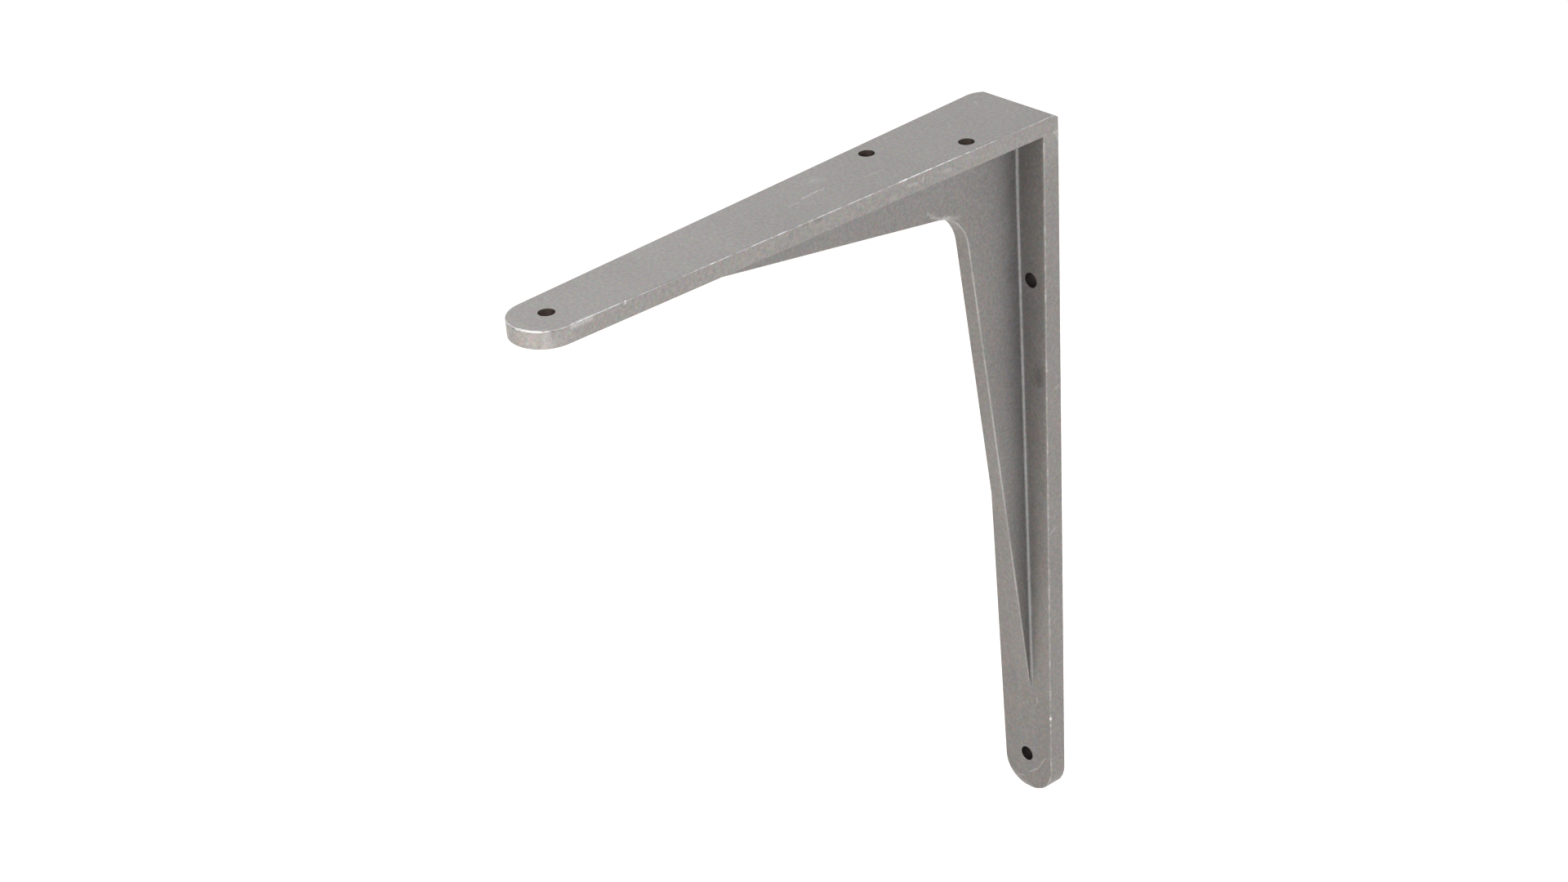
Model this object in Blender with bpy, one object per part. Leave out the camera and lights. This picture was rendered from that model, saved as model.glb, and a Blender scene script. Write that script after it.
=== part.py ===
"""Cast aluminium shelf bracket: two tapering arms at right angles with a drafted web in the angle.

The wall face lies in the plane y = 0 and looks along +Y. The shelf arm reaches towards -Y, its top
face looks up, and the width runs along X. The origin is on the wall face, half way up the wall arm.
"""

import math

import bmesh
import bpy
from mathutils import Matrix, Vector

# Driving dimensions, in metres.
SHELF_LENGTH = 0.2495
WALL_HEIGHT = 0.300
CORNER_WIDTH = 0.039
SHELF_PLATE = 0.0072
WALL_PLATE = 0.0080

# Rounded ends of the arms: the half width reached there and the radius of the round.
SHELF_TIP_HALF = 0.0132
SHELF_TIP_ROUND = 0.0131
WALL_TIP_HALF = 0.0127
WALL_TIP_ROUND = 0.0118

# The chamfer along the outer corner of the L, its two legs, and the far end of it, which is rounded
# off in plan.
CHAMFER_ALONG_SHELF = 0.0023
CHAMFER_DOWN_WALL = 0.0014
FAR_CORNER_ROUND = 0.0080
FAR_CORNER_FADE = 0.024

# The web: its half thickness along the free edge, its draft, and where the free edge runs.
WEB_HALF = 0.0035
WEB_DRAFT = 0.047
WEB_UNDER_DROP = 0.0389
WEB_SHELF_REACH = 0.2035
WEB_FRONT_STAND = 0.0396
WEB_WALL_REACH = 0.2604
WEB_INNER_ROUND = 0.0182
FOOT_FILLET = 0.0015
FILLET_SHARE = 0.6
EMBED = 0.003

# Screw holes: (x, distance from the outer corner of the L).
HOLE_DIAMETER = 0.0061
SHELF_HOLES = ((-0.0005, 0.2346), (-0.0102, 0.071), (0.0111, 0.0405))
WALL_HOLES = ((-0.0006, 0.2843), (0.0102, 0.0686), (-0.0108, 0.041))

TOP = WALL_HEIGHT / 2
TIP_STEPS = 16
ARC_STEPS = 7
ARM_STEPS = 8
FAR_CORNER_STEPS = 8
HOLE_SIDES = 28
OVERRUN = 0.004
TINY = 0.0001

CASTING_COLOUR = (0.42, 0.41, 0.395, 1.0)
CASTING_ROUGHNESS = 0.55


def clear_scene():
    for obj in list(bpy.data.objects):
        bpy.data.objects.remove(obj, do_unlink=True)


def new_collection(name):
    collection = bpy.data.collections.new(name)
    bpy.context.scene.collection.children.link(collection)
    return collection


def cast_aluminium():
    material = bpy.data.materials.new("cast_aluminium")
    material.use_nodes = True
    shader = material.node_tree.nodes["Principled BSDF"]
    shader.inputs["Base Color"].default_value = CASTING_COLOUR
    shader.inputs["Metallic"].default_value = 1.0
    shader.inputs["Roughness"].default_value = CASTING_ROUGHNESS
    return material


def link_mesh(name, mesh, collection, matrix=Matrix()):
    obj = bpy.data.objects.new(name, mesh)
    obj.matrix_world = matrix
    collection.objects.link(obj)
    return obj


def link_bmesh(name, bm, collection):
    bmesh.ops.recalc_face_normals(bm, faces=bm.faces)
    mesh = bpy.data.meshes.new(name)
    bm.to_mesh(mesh)
    bm.free()
    return link_mesh(name, mesh, collection)


def arc(centre, radius, start, end, steps):
    """Points on an arc from angle start to angle end, both ends included."""
    angles = [start + (end - start) * i / steps for i in range(steps + 1)]
    return [centre + radius * Vector((math.cos(a), math.sin(a))) for a in angles]


def arm_outline(length, block, tip_half, tip_round):
    """Outline of an arm along -Y, square beside the corner block and tapering to a rounded end."""
    half = CORNER_WIDTH / 2
    centre_y = -length + tip_round
    lean = math.atan2(half - tip_half, -centre_y - block)
    centre = Vector((max(tip_half - tip_round / math.cos(lean), 0.0), centre_y))
    end = arc(centre, tip_round, -lean, -math.pi / 2, TIP_STEPS // 2)
    side = [Vector((half, 0.0)), Vector((half, -block)), *end]
    mirrored = [Vector((-point.x, point.y)) for point in reversed(side)]
    return side + (mirrored if centre.x > TINY else mirrored[1:])


def plate(name, outline, thickness, matrix, collection):
    """A flat plate from its outline, filled and extruded to both sides of the outline's plane."""
    curve = bpy.data.curves.new(name, "CURVE")
    curve.dimensions = "2D"
    curve.fill_mode = "BOTH"
    curve.extrude = thickness / 2
    spline = curve.splines.new("POLY")
    spline.points.add(len(outline) - 1)
    for point, place in zip(spline.points, outline):
        point.co = (place.x, place.y, 0.0, 1.0)
    spline.use_cyclic_u = True
    drawn = link_mesh(name + "_outline", curve, collection, matrix)
    graph = bpy.context.evaluated_depsgraph_get()
    mesh = bpy.data.meshes.new_from_object(drawn.evaluated_get(graph))
    solid = link_mesh(name, mesh, collection, drawn.matrix_world.copy())
    bpy.data.objects.remove(drawn, do_unlink=True)
    bm = bmesh.new()
    bm.from_mesh(mesh)
    bmesh.ops.remove_doubles(bm, verts=bm.verts, dist=TINY / 10)
    bmesh.ops.recalc_face_normals(bm, faces=bm.faces)
    bm.to_mesh(mesh)
    bm.free()
    return solid


def shelf_plate(collection):
    outline = arm_outline(SHELF_LENGTH, WALL_PLATE, SHELF_TIP_HALF, SHELF_TIP_ROUND)
    place = Matrix.Translation((0.0, 0.0, TOP - SHELF_PLATE / 2))
    return plate("bracket", outline, SHELF_PLATE, place, collection)


def wall_plate(collection):
    outline = arm_outline(WALL_HEIGHT, SHELF_PLATE, WALL_TIP_HALF, WALL_TIP_ROUND)
    place = Matrix.Translation((0.0, -WALL_PLATE / 2, TOP)) @ Matrix.Rotation(math.pi / 2, 4, "X")
    return plate("wall_plate", outline, WALL_PLATE, place, collection)


def line_meet(point, along, other, other_along):
    """Where two lines of the web's plane cross."""
    cross = along.x * other_along.y - along.y * other_along.x
    gap = other - point
    return point + along * ((gap.x * other_along.y - gap.y * other_along.x) / cross)


def web_stations():
    """Stations round the web, from the shelf arm's run-out to the wall arm's.

    Each is (edge point, rule): the rule gives the station's point at a height above the plates.
    The plane's axes are y and z, and z is measured from the shelf face.
    """
    under_end = Vector((-WEB_SHELF_REACH, -SHELF_PLATE))
    under_start = Vector((0.0, -WEB_UNDER_DROP))
    front_start = Vector((-WEB_FRONT_STAND, 0.0))
    front_end = Vector((-WALL_PLATE, -WEB_WALL_REACH))
    under = (under_end - under_start).normalized()
    front = (front_end - front_start).normalized()
    knee = line_meet(under_start, under, front_start, front)
    half_angle = under.angle(front) / 2
    centre = knee + (under + front).normalized() * (WEB_INNER_ROUND / math.sin(half_angle))
    setback = WEB_INNER_ROUND / math.tan(half_angle)
    under_turn = knee + under * setback
    front_turn = knee + front * setback

    def on_shelf(edge):
        return lambda height: Vector((edge.x, -SHELF_PLATE - height))

    def on_wall(edge):
        return lambda height: Vector((-WALL_PLATE - height, edge.y))

    def fanned(edge, plate_rule):
        ray = edge - centre
        return lambda height: line_meet(centre, ray, *plate_rule(height))

    def shelf_line(height):
        return Vector((0.0, -SHELF_PLATE - height)), Vector((1.0, 0.0))

    def wall_line(height):
        return Vector((-WALL_PLATE - height, 0.0)), Vector((0.0, 1.0))

    def in_corner(height):
        return Vector((-WALL_PLATE - height, -SHELF_PLATE - height))

    def direction(point):
        return math.atan2(point.y - centre.y, point.x - centre.x)

    sunk = EMBED / 2
    shelf_far = under_end + under * (sunk / abs(under.y))
    wall_far = front_end + front * (sunk / abs(front.x))
    corner_way = direction(in_corner(0.0))
    stations = []
    for i in range(ARM_STEPS):
        edge = shelf_far.lerp(under_turn, i / ARM_STEPS)
        stations.append((edge, on_shelf(edge)))
    for point in arc(centre, WEB_INNER_ROUND, direction(under_turn), corner_way, ARC_STEPS)[:-1]:
        stations.append((point, fanned(point, shelf_line)))
    turn = arc(centre, WEB_INNER_ROUND, corner_way, direction(front_turn), ARC_STEPS)
    stations.append((turn[0], in_corner))
    for point in turn[1:]:
        stations.append((point, fanned(point, wall_line)))
    for i in range(1, ARM_STEPS + 1):
        edge = front_turn.lerp(wall_far, i / ARM_STEPS)
        stations.append((edge, on_wall(edge)))
    return stations


def web_section(edge, rule):
    """Half section of the web: (point, half thickness) from the free edge to inside the plate."""
    clear = min(-SHELF_PLATE - edge.y, -WALL_PLATE - edge.x)
    if clear <= 0.0:
        return [(edge, WEB_HALF)] + [(rule(TINY * i - EMBED), WEB_HALF) for i in (3, 2, 1, 0)]
    fillet = min(FOOT_FILLET, FILLET_SHARE * clear)
    middle = fillet * (1 - math.sqrt(0.5))
    start = rule(fillet)
    half = WEB_HALF + WEB_DRAFT * (edge - start).length
    foot = half + fillet
    rounded = [(start, half), (rule(middle), half + middle), (rule(0.0), foot)]
    return [(edge, WEB_HALF), *rounded, (rule(-EMBED), foot)]


def web(collection):
    """The web as one closed loft through its stations, alike on both sides of the middle plane."""
    bm = bmesh.new()
    loops = []
    for edge, rule in web_stations():
        section = web_section(edge, rule)
        right = [bm.verts.new((half, point.x, point.y + TOP)) for point, half in section]
        left = [bm.verts.new((-half, point.x, point.y + TOP)) for point, half in reversed(section)]
        loops.append(right + left)
    for loop, following in zip(loops, loops[1:]):
        for i in range(len(loop)):
            j = (i + 1) % len(loop)
            bm.faces.new((loop[i], loop[j], following[j], following[i]))
    bm.faces.new(loops[0])
    bm.faces.new(list(reversed(loops[-1])))
    return link_bmesh("web", bm, collection)


def outer_corner_cutter(collection):
    """The bar outside the chamfered outer corner of the L, along the whole width."""
    along, down = CHAMFER_ALONG_SHELF, CHAMFER_DOWN_WALL
    sloped = [Vector((0.0, -down)), Vector((-along, 0.0))]
    beyond = [Vector((-along, OVERRUN)), Vector((OVERRUN, OVERRUN)), Vector((OVERRUN, -down))]
    place = Matrix.Translation((0.0, 0.0, TOP)) @ Matrix(((0, 0, 1), (1, 0, 0), (0, 1, 0))).to_4x4()
    return plate("outer_corner_cutter", sloped + beyond, CORNER_WIDTH + 2 * OVERRUN, place, collection)


def far_corner_cutter(collection):
    """The waste off the far end of the outer corner: a round in plan, fading out down the wall plate."""
    bm = bmesh.new()
    loops = []
    side = -CORNER_WIDTH / 2
    above = FAR_CORNER_ROUND * (1 + OVERRUN / FAR_CORNER_FADE)
    for height, radius in ((TOP + OVERRUN, above), (TOP - FAR_CORNER_FADE, TINY)):
        centre = Vector((side + radius, -radius))
        curve = arc(centre, radius, math.pi / 2, math.pi, FAR_CORNER_STEPS)
        beyond = Vector((side - OVERRUN, OVERRUN))
        outline = [*curve, Vector((beyond.x, -radius)), beyond, Vector((centre.x, beyond.y))]
        loops.append([bm.verts.new((point.x, point.y, height)) for point in outline])
    top, bottom = loops
    for i in range(len(top)):
        j = (i + 1) % len(top)
        bm.faces.new((top[i], top[j], bottom[j], bottom[i]))
    bm.faces.new(top)
    bm.faces.new(bottom)
    return link_bmesh("far_corner_cutter", bm, collection)


def hole_cutter(name, place, turn, depth, collection):
    bm = bmesh.new()
    radius = HOLE_DIAMETER / 2
    bmesh.ops.create_cone(
        bm, cap_ends=True, segments=HOLE_SIDES, radius1=radius, radius2=radius, depth=depth + 2 * OVERRUN
    )
    bm.transform(Matrix.Translation(place) @ turn)
    return link_bmesh(name, bm, collection)


def hole_cutters(collection):
    cutters = []
    upright = Matrix()
    level = Matrix.Rotation(math.pi / 2, 4, "X")
    for number, (x, reach) in enumerate(SHELF_HOLES, 1):
        place = (x, -reach, TOP - SHELF_PLATE / 2)
        cutters.append(hole_cutter(f"shelf_hole_cutter_{number}", place, upright, SHELF_PLATE, collection))
    for number, (x, reach) in enumerate(WALL_HOLES, 1):
        place = (x, -WALL_PLATE / 2, TOP - reach)
        cutters.append(hole_cutter(f"wall_hole_cutter_{number}", place, level, WALL_PLATE, collection))
    return cutters


def combine(body, other, operation):
    modifier = body.modifiers.new(f"{operation.lower()}_{other.name}", "BOOLEAN")
    modifier.operation = operation
    modifier.object = other
    modifier.solver = "EXACT"
    other.hide_render = True
    other.display_type = "WIRE"


def main():
    clear_scene()
    parts = new_collection("aluminium_shelf_bracket")
    helpers = new_collection("bracket_cutters")
    body = shelf_plate(parts)
    for addition in (wall_plate(helpers), web(helpers)):
        combine(body, addition, "UNION")
    waste = [outer_corner_cutter(helpers), far_corner_cutter(helpers), *hole_cutters(helpers)]
    for cutter in waste:
        combine(body, cutter, "DIFFERENCE")
    body.data.materials.clear()
    body.data.materials.append(cast_aluminium())


main()
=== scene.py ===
"""The cast aluminium shelf bracket, dressed for its picture.

A Geometry Nodes tree sweeps the casting over rows that run from the tip of the shelf arm, round the
corner, to the tip of the wall arm. A second tree drills the screw holes.
"""

import logging
from dataclasses import dataclass, field
from enum import Enum
from functools import reduce
from math import atan, atan2, ceil, cos, hypot, pi, radians, sin, tan
from typing import Optional, Sequence, Union

import bpy
from bpy.types import Material, Node, NodeSocket, NodeTree, Object
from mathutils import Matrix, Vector


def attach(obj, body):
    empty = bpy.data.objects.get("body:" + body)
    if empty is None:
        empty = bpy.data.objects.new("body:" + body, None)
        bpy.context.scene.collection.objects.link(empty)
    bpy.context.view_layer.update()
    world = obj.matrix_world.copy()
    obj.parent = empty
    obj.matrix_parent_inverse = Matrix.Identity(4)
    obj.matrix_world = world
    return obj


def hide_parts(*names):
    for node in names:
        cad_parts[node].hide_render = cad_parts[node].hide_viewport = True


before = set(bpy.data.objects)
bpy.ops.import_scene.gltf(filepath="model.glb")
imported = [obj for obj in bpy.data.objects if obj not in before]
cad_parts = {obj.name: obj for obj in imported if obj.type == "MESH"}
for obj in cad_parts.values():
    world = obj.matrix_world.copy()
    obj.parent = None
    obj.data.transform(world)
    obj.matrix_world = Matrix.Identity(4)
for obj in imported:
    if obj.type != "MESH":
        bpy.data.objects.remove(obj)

logging.basicConfig(level=logging.INFO, format="%(message)s")
log = logging.getLogger("bracket")

MILLIMETRE = 0.001
TOP = 0.150
WELD = 1.5e-5
TINY = 1e-6
MARK_FADE = 0.75
Pair = tuple[float, float]
Triple = tuple[float, float, float]


@dataclass(frozen=True)
class Signal:
    """One value in a node tree. Arithmetic on it adds nodes."""

    tree: NodeTree
    socket: NodeSocket
    vector: bool = False

    def pair(self, operation: str, other: "Term", swapped: bool = False) -> "Signal":
        """Joins this value with another one.

        Args:
            operation: the sum's name.
            other: the other value. A number scales a vector.
            swapped: whether the other value comes first.

        Returns:
            The result.
        """
        first, second = (other, self) if swapped else (self, other)
        if is_vector(first) == is_vector(second):
            return node_sum(self.tree, operation, first, second, vector=is_vector(first))
        if is_vector(second):
            first, second = second, first
        return node_sum(self.tree, "SCALE", first, second, vector=True)

    def __add__(self, other: "Term") -> "Signal":
        """The sum."""
        return self.pair("ADD", other)

    def __sub__(self, other: "Term") -> "Signal":
        """The difference."""
        return self.pair("SUBTRACT", other)

    def __rsub__(self, other: "Term") -> "Signal":
        """The difference, from the right."""
        return self.pair("SUBTRACT", other, swapped=True)

    def __mul__(self, other: "Term") -> "Signal":
        """The product."""
        return self.pair("MULTIPLY", other)

    def __truediv__(self, other: "Term") -> "Signal":
        """The quotient."""
        return self.pair("DIVIDE", other)

    __radd__ = __add__
    __rmul__ = __mul__

    def work(self, operation: str, *others: "Term") -> "Signal":
        """Runs a Math node on this number, or a Vector Math node on this vector."""
        return node_sum(self.tree, operation, self, *others, vector=self.vector)

    def at_least(self, other: "Term") -> "Signal":
        """The greater of this number and another one."""
        return self.work("MAXIMUM", other)

    def at_most(self, other: "Term") -> "Signal":
        """The smaller of this number and another one."""
        return self.work("MINIMUM", other)

    def part(self, axis: int) -> "Signal":
        """Takes one part of this vector.

        Args:
            axis: 0, 1 or 2 for x, y or z.

        Returns:
            The part.
        """
        node = self.tree.nodes.new("ShaderNodeSeparateXYZ")
        feed(self, node.inputs[0])
        return Signal(self.tree, node.outputs[axis])


Term = Union[Signal, float, Sequence[float]]
VECTOR_TO_NUMBER = ("LENGTH", "DOT_PRODUCT")


def is_vector(term: Term) -> bool:
    """Whether the value has three parts."""
    return term.vector if isinstance(term, Signal) else not isinstance(term, (int, float))


def feed(term: object, socket: NodeSocket) -> None:
    """Links a value to an input, or sets the input to a plain one.

    Args:
        term: the value.
        socket: the input.
    """
    if isinstance(term, Signal):
        term.tree.links.new(term.socket, socket)
    else:
        socket.default_value = term


def node_sum(tree: NodeTree, operation: str, *terms: Term, vector: bool = False) -> Signal:
    """Adds a Math node, or a Vector Math node.

    Args:
        tree: the node tree.
        operation: the sum's name.
        terms: the values. SCALE takes a vector and its factor.
        vector: whether they are vectors.

    Returns:
        The result.
    """
    node = tree.nodes.new("ShaderNodeVectorMath" if vector else "ShaderNodeMath")
    node.operation = operation
    sockets = (node.inputs[0], node.inputs["Scale"]) if operation == "SCALE" else node.inputs
    for term, socket in zip(terms, sockets):
        feed(term, socket)
    vector = vector and operation not in VECTOR_TO_NUMBER
    return Signal(tree, node.outputs["Vector" if vector else "Value"], vector)


def between(start: Term, end: Term, share: Signal) -> Signal:
    """The value that lies a share of the way from start to end."""
    return start + (end - start) * share


def noise(place: Signal, scale: float, detail: float = 1.0, colour: bool = False) -> Signal:
    """A cloud of noise.

    Args:
        place: where it is read.
        scale: the number of clouds to the metre.
        detail: the number of finer layers.
        colour: whether it is a vector, with its own noise in each part.

    Returns:
        The noise, from 0 to 1, or the vector, from -0.5 to 0.5.
    """
    node = place.tree.nodes.new("ShaderNodeTexNoise")
    for name, term in (("Vector", place), ("Scale", scale), ("Detail", detail)):
        feed(term, node.inputs[name])
    if colour:
        return Signal(place.tree, node.outputs["Color"], vector=True) - (0.5, 0.5, 0.5)
    return Signal(place.tree, node.outputs[0])


@dataclass(frozen=True)
class Band:
    """A smooth step from least, at low, to most, at high. High may lie below low."""

    low: float
    high: float
    least: float = 0.0
    most: float = 1.0

    def of(self, value: Signal) -> Signal:
        """The step of a number.

        Args:
            value: the number.

        Returns:
            The number from least to most.
        """
        node = value.tree.nodes.new("ShaderNodeMapRange")
        node.interpolation_type = "SMOOTHSTEP"
        for term, socket in zip((value, self.low, self.high, self.least, self.most), node.inputs):
            feed(term, socket)
        return Signal(value.tree, node.outputs["Result"])


def spread(start: float, end: float, spacing: float) -> list[float]:
    """Even steps after start, up to end, each no longer than the spacing."""
    count = ceil((end - start) / spacing)
    return [start + (end - start) * i / count for i in range(1, count + 1)]


def add_points(name: str, points: Sequence[Vector], faces: Sequence[Sequence[int]] = ()) -> Object:
    """Adds an object with a mesh to the scene.

    Args:
        name: its name.
        points: the mesh's points.
        faces: the numbers of the points of each face.

    Returns:
        The object.
    """
    mesh = bpy.data.meshes.new(name + "_mesh")
    mesh.from_pydata(points, [], faces)
    return add_object(name, mesh)


def add_object(name: str, data: bpy.types.ID) -> Object:
    """Adds an object to the scene.

    Args:
        name: its name.
        data: its mesh, light or camera.

    Returns:
        The object.
    """
    obj = bpy.data.objects.new(name, data)
    bpy.context.scene.collection.objects.link(obj)
    return obj


class Plate(Enum):
    """The two plates of the bracket."""

    SHELF = "shelf"
    WALL = "wall"

    def place(self, along: float, depth: float) -> Vector:
        """A point of the bracket's middle plane.

        Args:
            along: the distance from the outer corner, along the arm.
            depth: the distance from the arm's outer face.

        Returns:
            The point.
        """
        if self is Plate.SHELF:
            return Vector((0.0, -along, TOP - depth))
        return Vector((0.0, -depth, TOP - along))

    def way(self, along: float, depth: float) -> Vector:
        """The direction of a step along the arm and a step inwards."""
        return self.place(along, depth) - self.place(0.0, 0.0)


@dataclass(frozen=True)
class Arm:
    """One arm: a tapering plate with a rounded end, and the web that runs out on it."""

    plate: Plate
    length: float
    thickness: float
    block: float
    tip_half: float
    tip_round: float
    web_drop: float
    web_reach: float
    heel_leg: float
    holes: tuple[Pair, ...]
    corner_half: float = 0.0195
    tip_draft: float = 0.0

    @property
    def lean(self) -> float:
        """The angle between the arm's side and its middle line."""
        run = self.length - self.tip_round - self.block
        return atan2(self.corner_half - self.tip_half, run)

    @property
    def tip_centre(self) -> Vector:
        """The centre of the round at the tip, as (across, along)."""
        across = max(self.tip_half - self.tip_round / cos(self.lean), 0.0)
        return Vector((across, self.length - self.tip_round))

    @property
    def web_slope(self) -> float:
        """How fast the web's free edge comes up to the plate."""
        return (self.web_drop - self.thickness) / self.web_reach

    def web_depth(self, along: float) -> float:
        """The depth of the web's free edge below the arm's outer face."""
        return self.web_drop - self.web_slope * along

    def taper_half(self, along: float) -> float:
        """Half the arm's width on its straight side."""
        return self.corner_half - tan(self.lean) * max(0.0, along - self.block)


@dataclass(frozen=True)
class Station:
    """One row across the casting, from the outer face, over the side, to the web's free edge."""

    outer: Vector
    outward: Vector
    root: Vector
    climb: Vector
    edge: Vector
    shift: Vector
    side_lean: float = 1.0
    tip_cut: float = 0.0
    tip_draft: float = 0.0
    open_share: float = 1.0

    VECTORS = ("outer", "outward", "root", "climb", "edge", "shift")
    NUMBERS = ("side_lean", "tip_cut", "tip_draft", "open_share")


class Zone(Enum):
    """The zones of a row."""

    OUTER_FACE = 0
    RIM = 1
    SIDE = 2
    NOSE = 3
    INNER_FACE = 4
    FOOT = 5
    WEB = 6
    LIP = 7
    FREE_EDGE = 8


SHELF_ARM = Arm(
    plate=Plate.SHELF, length=0.2495, thickness=0.0072, block=0.0080, tip_half=0.0132, tip_round=0.0131,
    web_drop=0.0389, web_reach=0.2035, heel_leg=0.0023, tip_draft=0.00015,
    holes=((-0.0005, 0.2346), (-0.0102, 0.071), (0.0111, 0.0405)),
)
WALL_ARM = Arm(
    plate=Plate.WALL, length=0.300, thickness=0.0080, block=0.0072, tip_half=0.0127, tip_round=0.0118,
    web_drop=0.0396, web_reach=0.2604, heel_leg=0.0014,
    holes=((-0.0006, 0.2843), (0.0102, 0.0686), (-0.0108, 0.041)),
)


@dataclass(frozen=True)
class Heel:
    """Half of the chamfer along the outer corner, from its middle to the plate's outer face."""

    plate: Plate
    along: float
    depth: float
    soften: float

    @property
    def turn(self) -> float:
        """The angle between the chamfer and the plate."""
        return atan2(self.depth, self.along)

    @property
    def edge(self) -> float:
        """How far the softened edge reaches to either side of the sharp one."""
        return self.soften * tan(self.turn / 2)

    @property
    def runs(self) -> Pair:
        """How far along the profile the chamfer's flat ends, and its softened edge."""
        flat = hypot(self.along, self.depth) / 2 - self.edge
        return flat, flat + self.soften * self.turn

    def point(self, run: float) -> tuple[Vector, Vector]:
        """A point of the outer profile and the way that it faces.

        Args:
            run: the distance from the middle of the chamfer.

        Returns:
            The point and the outward direction there.
        """
        flat, turned = self.runs
        start = self.along + self.edge
        if run > turned:
            return self.plate.place(start + run - turned, 0.0), self.plate.way(0.0, -1.0)
        turn = self.turn - max(0.0, run - flat) / self.soften
        outward = self.plate.way(-sin(turn), -cos(turn))
        if run < flat:
            along = self.along / 2 + run * cos(self.turn)
            return self.plate.place(along, self.depth / 2 - run * sin(self.turn)), outward
        across = start - self.soften * sin(turn)
        return self.plate.place(across, self.soften - self.soften * cos(turn)), outward


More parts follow.
